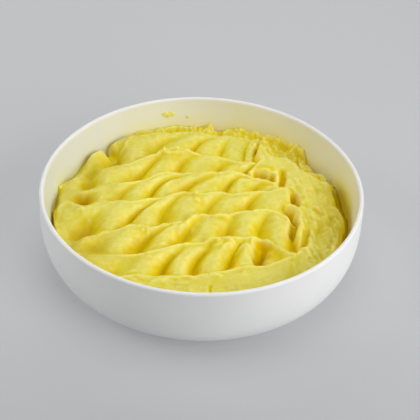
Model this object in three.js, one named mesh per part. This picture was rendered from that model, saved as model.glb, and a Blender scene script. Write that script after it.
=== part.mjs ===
// A low round serving bowl filled with buttery mashed potato, swept into rows with a spoon.
// Millimetres, +Z up, the bowl stands on z = 0 and its axis is x = y = 0. +Y is the far side.
import * as THREE from "three";

// ---- bowl ----
const RIM_RADIUS = 110;
const BOWL_HEIGHT = 55;
const BASE_RADIUS = 80.85;
const ROUND_REACH = 36.3;
const WALL_START = 37.84;
const WALL = 3;
const WALL_SWELL = 3.4;
const FLOOR_SWELL = 1;
const LIP_STEPS = 4;
const WALL_STEPS = 8;
const WALL_TOP = 0.93;
const BOWL_SIDES = 72;

// ---- mash ----
const GAP = 0.45;
const RINGS = 39;
const STATION_START = -90;
const STATION_STEP = 15;
const FAR_FACE = 1.5;
const UNDER = 1.3;
const CREST_BLEND = 0.5;
const LIP = 0.9;
const BULGE = 10.6;
const BULGE_SPAN = 22;
const CROWN = 0.5;
const NEAR_FLANK = 1.8;
const FAR_FLANK = 3.6;
const FLANK_LIP = 0.6;
const SLOPE_START = 62;
const BACK_SLOPE = 0.3;
const SLOPE = 0.8;
const LEFT_SLOPE_START = -77;
const LEFT_SLOPE = 0.33;
const SIDE_FALL = 8;
const SIDE_SPREAD = 1.6;
const SIDE_FOOT = 12.5;
const LOW_GAP = 0.45;

// Each row: height of its crest, fall toward the near side, how sharply its valleys turn, how
// open they are, the crest line's distance from the middle at every station from left to right,
// and the valleys as [x at the near end, depth, run to the right on the way to the crest].
const ROWS = [
  { top: 32, drop: 1, turn: 2, open: 0.5,
    crest: null,
    valleys: [[-130, 0.1, 0], [-60, 0.3, 4], [-20, 0.3, 2], [12, 0.5, 0], [44, 0.3, 0],
      [75, 0.2, 0], [130, 0.1, 0]] },
  { top: 36.5, drop: 2.2, turn: 3, open: 0.3,
    crest: [58, 68, 78, 84, 87, 88, 88, 86, 84, 80, 74],
    valleys: [[-110, 0.4, 6], [-66, 0.9, 6], [-38, 0.8, 30], [-8, 0.95, 22], [12, 0.8, 11],
      [30, 0.5, 9], [37.5, 1.5, 6], [56, 0.4, 6], [72, 0.4, 4]] },
  { top: 40, drop: 3, turn: 3.5, open: 0.3,
    crest: [26, 33, 39.5, 49, 54.5, 57.5, 57, 50, 46, 42, 38],
    valleys: [[-112, 0.4, 6], [-79, 0.5, 6], [-46.5, 1.1, 28], [-18.5, 1.05, 20], [10, 0.9, 14],
      [31, 0.8, 9], [46, 0.8, 4], [62, 0.8, 0], [84, 0.4, 0]] },
  { top: 40.8, drop: 3, turn: 3.5, open: 0.35,
    crest: [7.5, 8.5, 18, 19, 27, 30.5, 31, 33.5, 30, 25.5, 18],
    valleys: [[-115, 0.5, 6], [-82, 0.8, 4], [-56, 0.8, 33], [-38, 0.85, 22], [-12, 1, 24],
      [16.5, 0.95, 23], [35.5, 0.8, 15], [60, 0.8, 6], [84, 0.4, 0]] },
  { top: 41.2, drop: 3, turn: 3.5, open: 0.3,
    crest: [-4, -11, -4.5, -4, 1, 6, 7, 9, 9, 11, 15],
    valleys: [[-112, 0.4, 2], [-76, 0.85, 14], [-45, 1, 28], [-23.5, 1.05, 24], [8.5, 1, 18],
      [31, 1, 17], [61, 1.1, 6], [84, 0.4, 0]] },
  { top: 41.6, drop: 3.2, turn: 3.2, open: 0.6,
    crest: [-47, -42.5, -36.5, -30, -30.5, -26, -17.5, -17, -12.5, -10, -17],
    valleys: [[-110, 0.4, 2], [-67, 0.75, 12], [-35, 1.2, 27], [-9.5, 1.15, 15],
      [22.5, 1.2, 11], [43.5, 0.9, 13], [61.5, 1, 2], [84, 0.4, 0]] },
  { top: 41.6, drop: 3.2, turn: 2.6, open: 0.6,
    crest: [-62, -61, -60, -60, -57.5, -49.5, -45.5, -42, -40, -39.5, -51],
    valleys: [[-96, 0.4, 2], [-55, 0.45, 14], [-25, 1.15, 17], [-3.5, 1.1, 12], [23.5, 1.2, 11],
      [39.5, 0.9, 1], [64, 0.5, -8], [90, 0.4, 0]] },
  { top: 39.5, drop: 5, turn: 2, open: 0.5,
    crest: [-83, -82, -80.5, -79, -78, -77, -75, -71.5, -67.5, -63, -54],
    valleys: [[-120, 0.1, 0], [-50, 0.25, 4], [7, 0.25, 2], [34, 0.2, 0], [60, 0.3, 0],
      [120, 0.1, 0]] },
];
const BACK_ARC = 110;
const FRONT_ARC = 110;

// The broad fold down the right-hand side, by its bank from the back spike round.
const FOLD_TOP = 40.3;
const FOLD_FACE = 2.6;
const FOLD_BANK = [[42.6, 68], [40.6, 59], [41, 50], [36, 41], [33, 35.5], [39, 30], [46, 24.5],
  [53, 22.5], [60, 18], [63.5, 15], [66.5, 10], [67.8, -1.5], [58, -4.4], [63, -7.4],
  [64.8, -13.5], [65.6, -21], [64.6, -28], [66.5, -38], [66.5, -47], [61, -56], [60, -66],
  [72, -80], [96, -60], [104, -45], [112, -10], [112, 18], [97, 25], [88, 28], [80, 32],
  [72, 40], [66, 49], [59, 55], [52, 57], [46.5, 60]];

// Ridges raised by the edge of the spoon: points along the stroke, height at both ends, half width.
const RIDGES = [
  { line: [[43.5, 65], [44.2, 60]], from: 4.2, to: 2.6, half: 1.4 },
  { line: [[45, 60], [47.6, 53], [51, 44]], from: 3.2, to: 0.6, half: 4.2 },
  { line: [[58.2, -3.4], [63.5, -5.6], [68, -10.5], [70.5, -19]], from: 4.2, to: 1, half: 1.2 },
  { line: [[66, -7.5], [72, -10.5], [79, -16]], from: 1, to: 0.6, half: 2.2 },
  { line: [[66.6, -13], [67.8, -22], [66.5, -34]], from: 1.4, to: 0.8, half: 2 },
  { line: [[33, 35.6], [40, 36.6], [47, 36], [53, 35]], from: 1.4, to: 1, half: 1.2 },
  { line: [[33, 34.6], [40, 28.6], [47, 23.4], [53, 22.6]], from: 0.9, to: 1.5, half: 1.2 },
  { line: [[53.2, 37], [53, 24]], from: 0.5, to: 0.9, half: 1.5 },
  { line: [[-99, -17], [-98.5, -6], [-94, -2.5], [-89, -4]], from: 1.6, to: 1.4, half: 2.6 },
  { line: [[-91, 30], [-86, 44], [-82, 56]], from: 1.5, to: 3, half: 5 },
  { line: [[-65, 60], [-60, 67], [-53, 80]], from: 1.5, to: 1, half: 2 },
  { line: [[-30, 51], [-23, 53], [-16, 55]], from: 1.6, to: 1.4, half: 2 },
  { line: [[-24, -48], [-16, -46.5], [-8, -47]], from: 1.2, to: 1.2, half: 1.6 },
  { line: [[5, -45], [12, -45], [20, -43.5]], from: 1.4, to: 0.8, half: 1.5 },
  { line: [[33, -39.5], [42, -38.8], [50.5, -40.9], [57, -47.5], [58, -54]], from: 0.8, to: 1, half: 1.5 },
  { line: [[30, -64], [42, -62], [56, -59]], from: 0.8, to: 1, half: 2.4 },
  { line: [[84, -2], [86, -12], [82, -24]], from: 0.9, to: 0.7, half: 2.4 },
  { line: [[88, 10], [86, 0], [90, -8]], from: 0.8, to: 0.8, half: 1.8 },
];

// Pits and grooves with steep sides: points along the stroke, depth at both ends, half width.
const PITS = [
  { line: [[38.5, 34.4], [43, 32.6], [45.6, 30.6]], from: 9, to: 13, half: 2.5 },
  { line: [[49.6, 33], [49.6, 27]], from: 7, to: 11, half: 2.2 },
  { line: [[57, 38], [57.2, 31], [57, 22.5]], from: 4, to: 11, half: 2.4 },
  { line: [[65, 10.5], [67.4, 5]], from: 12, to: 13.5, half: 2.4 },
  { line: [[68, 4], [72, 1]], from: 2.2, to: 0.8, half: 2.6 },
  { line: [[60.6, -9.4], [63, -15]], from: 10, to: 8, half: 2.5 },
  { line: [[62.8, -15.5], [62, -22], [61.5, -28]], from: 5, to: 10, half: 2.5 },
  { line: [[71.5, -25], [70.3, -33], [68.3, -41]], from: 0.8, to: 7.5, half: 2.1 },
  { line: [[39.4, -43], [39, -48], [38.4, -53]], from: 8, to: 11, half: 3.9 },
  { line: [[45.5, -46], [51, -52]], from: 5, to: 4.2, half: 4.6 },
  { line: [[82, 16], [84, 4], [89, -8]], from: 0.8, to: 0.6, half: 2 },
  { line: [[-32, -43], [-22, -44]], from: 1.2, to: 0.8, half: 3 },
  { line: [[7, -84], [7.5, -92], [7, -104]], from: 1.6, to: 1.6, half: 0.7 },
  { line: [[-76, 71], [-69, 65], [-64, 61]], from: 11, to: 3, half: 4 },
  { line: [[53, 62], [60, 56]], from: 1.8, to: 0.8, half: 1.6 },
  { line: [[60, 80], [65, 70], [69, 58]], from: 1.6, to: 2.6, half: 2.6 },
  { line: [[51, 80], [54, 70]], from: 1.6, to: 1.2, half: 2 },
  { line: [[80, -20], [78, -34], [82, -46]], from: 0.9, to: 0.7, half: 1.8 },
  { line: [[88, -14], [90, -30], [86, -44]], from: 0.8, to: 0.8, half: 1.6 },
];

// Broad hollows where the spoon lifted away: x, y, reach in x, reach in y, depth.
const HOLLOWS = [[-81.5, 23, 5.5, 8, 9], [-79.5, 36, 5.5, 9, 8], [-90, 45, 7, 12, 4],
  [-82, 1.5, 7, 4.5, 9], [-81, -33, 9, 10, 8], [-67, 55, 6, 8, 5], [-73, 50, 6, 6, 4],
  [70, 60, 8, 12, 3], [56, 70, 7, 6, 3]];

// Edge of the mash by bearing: its radius, for it has drawn back from the wall in places, and
// its height there.
const WALL_RADIUS = 104.4;
const SHOULDER = 2.4;
const EDGE_LINE = [[-180, 102.8, 27], [-178, 102.3, 30], [-174, 101.8, 32], [-170, 101.3, 33],
  [-165, 101, 33.5], [-160, 101.8, 34.5], [-155, 103.4, 36], [-150, 104.5, 37.5],
  [-60, 104.6, 38], [-45, 104.4, 36.5], [-38, 104.2, 35], [-30, 103.5, 34], [-24, 101.5, 34],
  [-17, 99.5, 34], [-13, 98.5, 34], [-10, 99.6, 34], [-6.6, 99.2, 34.5], [-3.7, 98.8, 34],
  [-1.5, 96.8, 34.5], [1.5, 94.6, 36], [4.7, 94.6, 36.5], [9.9, 94.9, 37], [13, 96, 37],
  [16.6, 97.4, 36.5], [19.3, 99.4, 34], [22, 100.5, 29], [25.5, 102.4, 25], [28, 102.4, 22],
  [31, 102, 20.4], [33.3, 102, 20.6], [37, 102.8, 23.9], [40.4, 103.2, 26.3], [42, 103.7, 33.4],
  [43.8, 104.2, 37.4], [49, 103.9, 35.4], [52.9, 104, 36.2], [57.5, 104.1, 36.6],
  [60, 103.8, 34.2], [63.4, 103.8, 34.2], [69.2, 103.8, 34], [75, 103.9, 34.4],
  [78.3, 103.7, 32.3], [81.5, 103.5, 29.5], [84.2, 103.3, 27.9], [85.3, 102.9, 25.5],
  [86, 103.6, 30.9], [87.7, 104.1, 35.1], [89.1, 104, 34.3], [90.4, 103.8, 32.7],
  [93.7, 103.7, 32.1], [96.9, 103.7, 31.6], [100.2, 103.8, 33], [103.5, 104, 34.7],
  [108, 103.8, 32.4], [113.7, 103.8, 33.3], [119.5, 103.9, 33.7], [125, 103.7, 31.9],
  [128, 103.4, 28.3], [130.4, 103.4, 28.6], [133, 103.5, 29.9], [134.6, 103.4, 28.9],
  [135.6, 103, 22.5], [136.3, 101, 16], [138, 101, 18], [139, 103.3, 27.6],
  [142.7, 103.4, 28.7], [146.6, 103.4, 28.7], [149.2, 103.3, 27.5], [152, 103.2, 26.6],
  [157.9, 102.9, 25.2], [161, 103.4, 28.1], [163.7, 103.6, 30.9], [166, 103.7, 31.6],
  [168.7, 103.9, 33.6], [169.8, 103.6, 30], [172, 103.4, 27.7], [176, 103.1, 25.6],
  [178.3, 102.9, 24.6], [180, 102.8, 27]];

const clamp = (v, a, b) => Math.min(b, Math.max(a, v));
const ease = (a, b, v) => {
  const t = clamp((v - a) / (b - a), 0, 1);
  return t * t * (3 - 2 * t);
};
const blendMax = (a, b, k) => {
  const h = clamp(0.5 + (0.5 * (a - b)) / k, 0, 1);
  return b * (1 - h) + a * h + k * h * (1 - h);
};

// The slight wander of the hand that swept the mash.
function unsteady(x, y) {
  const wx = 1.2 * Math.sin(y / 11 + 0.7) + 0.8 * Math.sin((x + 2 * y) / 17 + 2.1)
    + 0.4 * Math.sin((x - y) / 4.7);
  const wy = 0.8 * Math.sin(x / 9 + 1.3) + 0.6 * Math.sin((x - 1.4 * y) / 7 + 0.4)
    + 0.4 * Math.sin((x + 0.6 * y) / 4.1 + 1);
  return [x + wx, y + wy];
}

// Distance from the middle of row k's crest line at x.
function crestLine(k, x) {
  if (k === 0) return Math.sqrt(Math.max(BACK_ARC ** 2 - x * x, 100));
  if (k === ROWS.length) return -Math.sqrt(Math.max(FRONT_ARC ** 2 - x * x, 100));
  const { crest } = ROWS[k];
  const last = crest.length - 1;
  const q = (x - STATION_START) / STATION_STEP;
  const i = clamp(Math.floor(q), 0, last - 1);
  const f = clamp(q - i, -1, 2);
  const at = (j) => crest[clamp(j, 0, last)];
  const [a, b, c, d] = [at(i - 1), at(i), at(i + 1), at(i + 2)];
  const bend = 2 * a - 5 * b + 4 * c - d + f * (3 * (b - c) + d - a);
  return b + 0.5 * f * (c - a + f * bend);
}

// Depth of the valleys of one row at x, a share lead of the way back from its near side, where
// a thin lip of height rise stands as the spoon left each pillow.
function valleySink({ valleys, open }, x, lead, rise) {
  for (let i = 0; i + 1 < valleys.length; i += 1) {
    const a = valleys[i][0] + valleys[i][2] * lead;
    const b = valleys[i + 1][0] + valleys[i + 1][2] * lead;
    const q = (x - a) / (b - a);
    if (q >= 0 && q < 1) {
      const depth = valleys[i][1] * (1 - q) + valleys[i + 1][1] * q;
      const size = Math.min(1, (b - a) / BULGE_SPAN);
      const side = q < CROWN ? 1 - q / CROWN : (q - CROWN) / (1 - CROWN);
      const flank = q < CROWN ? NEAR_FLANK : FAR_FLANK;
      const soft = Math.max(0.5 - 0.5 * Math.cos(Math.PI * side), 0) ** (0.62 * flank);
      const trough = (1 - open) * side ** flank + open * soft;
      const lip = Math.exp(-((((1 - q) * (b - a) - 3.2) / 1.1) ** 2));
      return BULGE * size * depth * trough - rise * Math.min(1, valleys[i + 1][1]) * lip;
    }
  }
  return 0;
}

// Height of the swept sheet of row k at (x, y).
function rowSheet(k, x, y) {
  const row = ROWS[k];
  const far = crestLine(k, x);
  const span = Math.max(far - crestLine(k + 1, x), 14);
  const v = (far - y) / span;
  const vc = clamp(v, 0, 1.3);
  const lead = (1 - Math.min(vc, 1)) ** row.turn;
  const sink = valleySink(row, x, lead, FLANK_LIP * ease(0.85, 0.25, vc));
  let z = row.top - row.drop * vc ** 1.2 - sink * (0.03 + 0.97 * ease(-0.1, 0.66, vc));
  z -= Math.max(-v, 0) * FAR_FACE * span + Math.max(v - 1, 0) * UNDER * span;
  z -= (k < 3 ? BACK_SLOPE : SLOPE) * Math.max(x - SLOPE_START, 0);
  z -= LEFT_SLOPE * Math.max(LEFT_SLOPE_START - x, 0);
  z += 0.6 * Math.sin(x / 8.3 + 1.9 * k) + 0.3 * Math.sin(x / 4.1 + 2.7 * k);
  const lip = LIP * (0.55 + 0.45 * Math.sin(x / 6.1 + 2.3 * k)) * (0.25 + 0.75 * ease(-62, -30, x));
  return z + lip * (Math.exp(-((far - y) ** 2)) - 0.6 * Math.exp(-(((far - y - 3) / 1.6) ** 2)));
}

// Distance from a stroke of the spoon's edge, and the share of the stroke passed there.
function strokeAt(line, x, y) {
  let nearest = Infinity;
  let along = 0;
  const count = line.length - 1;
  for (let i = 0; i < count; i += 1) {
    const [ax, ay] = line[i];
    const [ex, ey] = [line[i + 1][0] - ax, line[i + 1][1] - ay];
    const t = clamp(((x - ax) * ex + (y - ay) * ey) / (ex * ex + ey * ey), 0, 1);
    const d = Math.hypot(x - ax - t * ex, y - ay - t * ey);
    if (d < nearest) {
      nearest = d;
      along = (i + t) / count;
    }
  }
  return [nearest, along];
}

// Signed distance to the bank of the side fold, negative on the fold.
function bankDistance(x, y) {
  let side = 1;
  for (let i = 0; i < FOLD_BANK.length; i += 1) {
    const [ax, ay] = FOLD_BANK[i];
    const [bx, by] = FOLD_BANK[(i + 1) % FOLD_BANK.length];
    const turn = (bx - ax) * (y - ay) - (by - ay) * (x - ax);
    if ((y >= ay && y < by && turn > 0) || (y < ay && y >= by && turn < 0)) side = -side;
  }
  return side * strokeAt([...FOLD_BANK, FOLD_BANK[0]], x, y)[0];
}

// Radius and height of the edge of the mash in the direction of (x, y).
function edgeAt(x, y) {
  const bearing = (Math.atan2(y, x) * 180) / Math.PI;
  let i = 0;
  while (i < EDGE_LINE.length - 2 && EDGE_LINE[i + 1][0] < bearing) i += 1;
  const [[a, ra, za], [b, rb, zb]] = [EDGE_LINE[i], EDGE_LINE[i + 1]];
  const share = clamp((bearing - a) / (b - a), 0, 1);
  return [ra + (rb - ra) * share, za + (zb - za) * share];
}

// The fold and the single marks wander less than the rows.
function steadier(x, y) {
  const [sx, sy] = unsteady(x, y);
  const fx = 0.7 * x + 0.3 * sx + 0.35 * Math.sin(y / 2.9) + 0.25 * Math.sin((x + y) / 1.9);
  const fy = 0.7 * y + 0.3 * sy + 0.35 * Math.sin(x / 2.7 + 1) + 0.25 * Math.sin((x - y) / 2.1);
  return [fx, fy];
}

function mashHeight(x, y) {
  const [sx, sy] = unsteady(x, y);
  let z = rowSheet(0, sx, sy);
  const blend = CREST_BLEND + 1.5 * ease(-35, -60, sx) + 2.5 * ease(-70, -96, sx);
  for (let k = 1; k < ROWS.length; k += 1) z = blendMax(z, rowSheet(k, sx, sy), blend);

  const [fx, fy] = steadier(x, y);
  const s = bankDistance(fx, fy);
  const face = FOLD_FACE - 1.8 * ease(-48, -58, fy);
  const fold = FOLD_TOP - 0.06 * Math.max(fx - 64, 0) - 0.16 * Math.max(-46 - fy, 0)
    - face * Math.max(s, 0) - Math.exp(Math.min(s, 0) / 1.4)
    + 0.6 * Math.exp(-(((s + 2) / 1.4) ** 2)) * ease(-40, -20, fy)
    + 0.7 * Math.sin(fx / 3.9 + fy / 14) + 0.5 * Math.sin(fy / 6 - fx / 9);
  z = blendMax(z, fold, CREST_BLEND + 2.5 * ease(-42, -56, fy));
  for (const { line, from, to, half } of RIDGES) {
    const [d, t] = strokeAt(line, fx, fy);
    z += (from + (to - from) * t) * Math.exp(-((d / half) ** 1.5));
  }
  for (const { line, from, to, half } of PITS) {
    const [d, t] = strokeAt(line, fx, fy);
    z -= (from + (to - from) * t) / (1 + (d / half) ** 4);
  }
  for (const [px, py, rx, ry, depth] of HOLLOWS) {
    z -= depth * Math.exp(-(((fx - px) / rx) ** 2) - ((fy - py) / ry) ** 2);
  }

  // Toward its edge the mash rounds off to the height it has at the wall.
  const [reach, level] = edgeAt(x, y);
  const inward = Math.max(reach - Math.hypot(x, y), 0);
  z = -blendMax(-z, -(level + 1 + SHOULDER * inward), 2);
  const near = Math.exp(-((inward / 2.4) ** 2));
  return z + (level - z) * near - 0.9 * Math.exp(-inward / 1.5);
}

// ---- bowl section ----
function wallPoint(t) {
  const u = 1 - t;
  const r = u ** 3 * BASE_RADIUS + 3 * u * u * t * (BASE_RADIUS + ROUND_REACH)
    + 3 * u * t * t * RIM_RADIUS + t ** 3 * RIM_RADIUS;
  const z = 3 * u * t * t * WALL_START + t ** 3 * BOWL_HEIGHT;
  return [r, z];
}

// Thickness of the bowl at a place on its section: thin at the rim, stout low in the wall.
function thickness(t) {
  return WALL + WALL_SWELL * ease(1, 0.62, t) - (WALL_SWELL - FLOOR_SWELL) * ease(0.5, 0.1, t);
}

// Point on the wall's section moved inward by a distance at right angles to the wall.
function wallInset(t, inset) {
  const [r, z] = wallPoint(t);
  const [r0, z0] = wallPoint(t - 1e-4);
  const [r1, z1] = wallPoint(t + 1e-4);
  const len = Math.hypot(r1 - r0, z1 - z0);
  return [r - (inset * (z1 - z0)) / len, z + (inset * (r1 - r0)) / len];
}

// Radius at height z of the inside of the wall, less a gap.
function innerRadius(z, gap) {
  let lo = 0;
  let hi = 1;
  for (let i = 0; i < 40; i += 1) {
    const mid = (lo + hi) / 2;
    if (wallInset(mid, thickness(mid) + gap)[1] < z) lo = mid;
    else hi = mid;
  }
  return wallInset(lo, thickness(lo) + gap)[0];
}

function bowlGeometry() {
  const outer = [];
  const inner = [];
  for (let i = 0; i <= WALL_STEPS; i += 1) {
    const t = (i / WALL_STEPS) * WALL_TOP;
    outer.push(wallPoint(t));
    inner.push(wallInset(t, thickness(t)));
  }
  const section = [[0, 0], ...outer];
  const lipZ = BOWL_HEIGHT - WALL / 2;
  for (let i = 0; i <= LIP_STEPS; i += 1) {
    const a = (i / LIP_STEPS) * Math.PI;
    const r = RIM_RADIUS - WALL / 2 + (Math.cos(a) * WALL) / 2;
    section.push([r, lipZ + (Math.sin(a) * WALL) / 2]);
  }
  section.push(...inner.reverse(), [0, WALL + FLOOR_SWELL]);
  return new THREE.LatheGeometry(section.map(([r, z]) => new THREE.Vector2(r, z)), BOWL_SIDES);
}

// ---- mash solid ----

// Turns the edge shared by two triangles wherever the other diagonal of their four corners lies
// closer to the true surface, so that the ridges are not broken into teeth.
function followRelief(points, faces, passes) {
  const off = (p, q) => {
    const [a, b] = [points[p], points[q]];
    return Math.abs((a[2] + b[2]) / 2 - mashHeight((a[0] + b[0]) / 2, (a[1] + b[1]) / 2));
  };
  const turn = (p, q, r) => {
    const [a, b, c] = [points[p], points[q], points[r]];
    return (b[0] - a[0]) * (c[1] - a[1]) - (b[1] - a[1]) * (c[0] - a[0]);
  };
  for (let pass = 0; pass < passes; pass += 1) {
    const owner = new Map();
    faces.forEach((face, at) => {
      for (let i = 0; i < 3; i += 1) owner.set(`${face[i]},${face[(i + 1) % 3]}`, [at, face[(i + 2) % 3]]);
    });
    const touched = new Set();
    for (const [edge, [at, c]] of owner) {
      const [a, b] = edge.split(",").map(Number);
      const other = a < b ? owner.get(`${b},${a}`) : undefined;
      if (other && !touched.has(at) && !touched.has(other[0])) {
        const d = other[1];
        const sound = turn(c, a, d) > 0.4 && turn(d, b, c) > 0.4;
        if (sound && off(c, d) < off(a, b) - 0.03) {
          faces[at] = [c, a, d];
          faces[other[0]] = [d, b, c];
          touched.add(at);
          touched.add(other[0]);
        }
      }
    }
  }
}

function mashGeometry() {
  const points = [];
  const faces = [];
  const put = (x, y, z) => points.push([x, y, z]) - 1;

  // Bridges two rings of points that both start at bearing 0, wound to face up or down.
  const bridge = (a, b, up) => {
    let i = 0;
    let j = 0;
    while (i < a.length || j < b.length) {
      const stepA = j >= b.length || (i < a.length && (i + 1) * b.length <= (j + 1) * a.length);
      const [p, q] = [a[i % a.length], b[j % b.length]];
      const n = stepA ? a[(i + 1) % a.length] : b[(j + 1) % b.length];
      faces.push(up ? [p, n, q] : [p, q, n]);
      if (stepA) i += 1;
      else j += 1;
    }
  };

  // Draws a point near a crest line onto it, so that the crests stay crisp.
  const drawn = (x, y) => {
    const [sx, sy] = unsteady(x, y);
    for (let k = 1; k < ROWS.length; k += 1) {
      const gap = crestLine(k, sx) - sy;
      if (Math.abs(gap) < 1.1 && sx < 58) return y + gap * 0.7;
    }
    return y;
  };

  const centre = put(0, 0, mashHeight(0, 0));
  const rings = [];
  for (let k = 1; k < RINGS; k += 1) {
    const ring = [];
    for (let i = 0; i < 6 * k; i += 1) {
      const a = (i / (6 * k)) * 2 * Math.PI;
      const [c, s] = [Math.cos(a), Math.sin(a)];
      const reach = WALL_RADIUS + (edgeAt(c, s)[0] - WALL_RADIUS) * ease(0.6, 1, k / RINGS);
      const r = (reach * k) / RINGS;
      const y = k < RINGS - 1 ? drawn(r * c, r * s) : r * s;
      ring.push(put(r * c, y, mashHeight(r * c, y)));
    }
    rings.push(ring);
  }

  // Puts a ring down the side of the mash: against the wall, or set in where the edge is free.
  const sideRing = (count, fall, spread) => {
    const ring = [];
    for (let i = 0; i < count; i += 1) {
      const a = (i / count) * 2 * Math.PI;
      const [c, s] = [Math.cos(a), Math.sin(a)];
      const [reach] = edgeAt(c, s);
      const edge = Math.min(reach, WALL_RADIUS - GAP);
      const top = mashHeight(edge * c, edge * s);
      const z = Math.max(top - fall, Math.min(top, SIDE_FOOT));
      const wall = innerRadius(z, GAP + LOW_GAP * ease(34, 18, z));
      const free = ease(0.5, 2.2, innerRadius(top, 0) - reach);
      const r = wall + (Math.min(edge + spread, wall) - wall) * free;
      ring.push(put(r * c, r * s, z));
    }
    return ring;
  };
  rings.push(sideRing(6 * RINGS, 0, 0));
  for (let i = 0; i < 6; i += 1) faces.push([centre, rings[0][i], rings[0][(i + 1) % 6]]);
  for (let k = 1; k < RINGS; k += 1) bridge(rings[k], rings[k - 1], true);
  followRelief(points, faces, 8);

  // The side falls away below the edge, and the underside follows the inside of the bowl.
  let above = sideRing(120, SIDE_FALL, SIDE_SPREAD);
  bridge(rings[RINGS - 1], above, false);
  for (const [step, count] of [[3, 120], [2, 90], [1, 60], [0, 30], [-1, 12]]) {
    const t = (Math.max(step, 0) / WALL_STEPS) * WALL_TOP;
    const [r, z] = wallInset(t, thickness(t) + GAP);
    const ring = [];
    for (let i = 0; i < count; i += 1) {
      const a = (i / count) * 2 * Math.PI;
      const reach = step < 0 ? r / 2 : r;
      ring.push(put(reach * Math.cos(a), reach * Math.sin(a), z));
    }
    bridge(above, ring, false);
    above = ring;
  }
  const foot = put(0, 0, WALL + FLOOR_SWELL + GAP);
  for (let i = 0; i < above.length; i += 1) {
    faces.push([foot, above[(i + 1) % above.length], above[i]]);
  }

  const geometry = new THREE.BufferGeometry();
  geometry.setAttribute("position", new THREE.Float32BufferAttribute(points.flat(), 3));
  geometry.setIndex(faces.flat());
  geometry.computeVertexNormals();
  return geometry;
}

function namedMesh(name, geometry, color, roughness) {
  const material = new THREE.MeshStandardMaterial({ color, roughness, metalness: 0 });
  const mesh = new THREE.Mesh(geometry, material);
  mesh.name = name;
  return mesh;
}

const bowlShape = bowlGeometry();
bowlShape.rotateX(Math.PI / 2);

const part = new THREE.Group();
part.name = "mashed_potato_side";
part.add(namedMesh("bowl", bowlShape, 0xe9e8e6, 0.38));
part.add(namedMesh("mash", mashGeometry(), 0xe6d863, 0.6));

export default part;
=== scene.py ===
"""A low round serving bowl of buttery mashed potato, swept into rows with a spoon."""
import math

import bmesh
import bpy
import numpy as np
from mathutils import Matrix, Vector


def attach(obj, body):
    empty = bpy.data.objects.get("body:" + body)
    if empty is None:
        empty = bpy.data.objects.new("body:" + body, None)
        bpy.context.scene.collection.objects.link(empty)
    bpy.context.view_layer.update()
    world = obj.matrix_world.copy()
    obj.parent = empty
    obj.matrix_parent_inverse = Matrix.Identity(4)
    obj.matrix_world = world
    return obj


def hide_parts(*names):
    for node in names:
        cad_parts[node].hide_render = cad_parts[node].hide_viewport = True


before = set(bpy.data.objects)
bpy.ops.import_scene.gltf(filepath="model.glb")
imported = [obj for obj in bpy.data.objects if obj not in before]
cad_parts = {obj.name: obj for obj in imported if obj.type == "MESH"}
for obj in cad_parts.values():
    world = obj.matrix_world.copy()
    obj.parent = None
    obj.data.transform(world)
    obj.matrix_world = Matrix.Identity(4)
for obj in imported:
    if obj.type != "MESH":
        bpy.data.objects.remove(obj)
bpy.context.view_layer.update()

MM = 0.001

# ---------------------------------------------------------------- sizes, in millimetres
# The outside of the bowl is one curve. It leaves the base level, drawn out by ROUND_REACH, and
# comes up to the rim upright, drawn down to WALL_START.
RIM_RADIUS = 110.0
BOWL_HEIGHT = 55.0
BASE_RADIUS = 80.85
ROUND_REACH = 36.3
WALL_START = 37.84
# Thickness at the rim, and what the lower wall and the floor have more.
WALL = 3.0
WALL_SWELL = 3.4
FLOOR_SWELL = 1.0

# The crest lines of the rows are given at stations along x.
STATION_START = -90.0
STATION_STEP = 15.0
# Slope of a row's far side, slope of a row under the one in front of it, and the least depth
# of a row from its crest to the next.
FAR_FACE = 1.5
UNDER = 1.3
LEAST_SPAN = 14
# Rounding where two rows meet.
CREST_BLEND = 0.5
# The lip along each crest and the groove in front of it: height and half width of the lip,
# share of that height, distance and half width of the groove.
LIP = 0.7
LIP_WIDTH = 1.0
GROOVE = 0.6
GROOVE_PLACE = 3
GROOVE_WIDTH = 1.6
# Depth of a full valley between two pillows, the width from which a pillow has full valleys,
# the place of its crown between them (0 to 1), and the powers that shape its two flanks.
BULGE = 9.3
BULGE_SPAN = 22.0
CROWN = 0.5
LEFT_FLANK = 1.8
RIGHT_FLANK = 3.6
# The lip on a pillow's right flank: height, distance from the valley, half width.
FLANK_LIP = 0.35
FLANK_LIP_PLACE = 3.2
FLANK_LIP_WIDTH = 1.1
# Where the rows begin to fall off toward the wall on the right and on the left, how steeply they
# do it on the right behind and in front, and how steeply on the left.
RIGHT_FALL = 62
LEFT_FALL = -77
BACK_SLOPE = 0.3
FRONT_SLOPE = 0.8
LEFT_SLOPE = 0.33
# Toward the left the far sides of the rows get soft: x where that begins, x where it is full.
SOFT_START = -50
SOFT_FULL = -74

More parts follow.
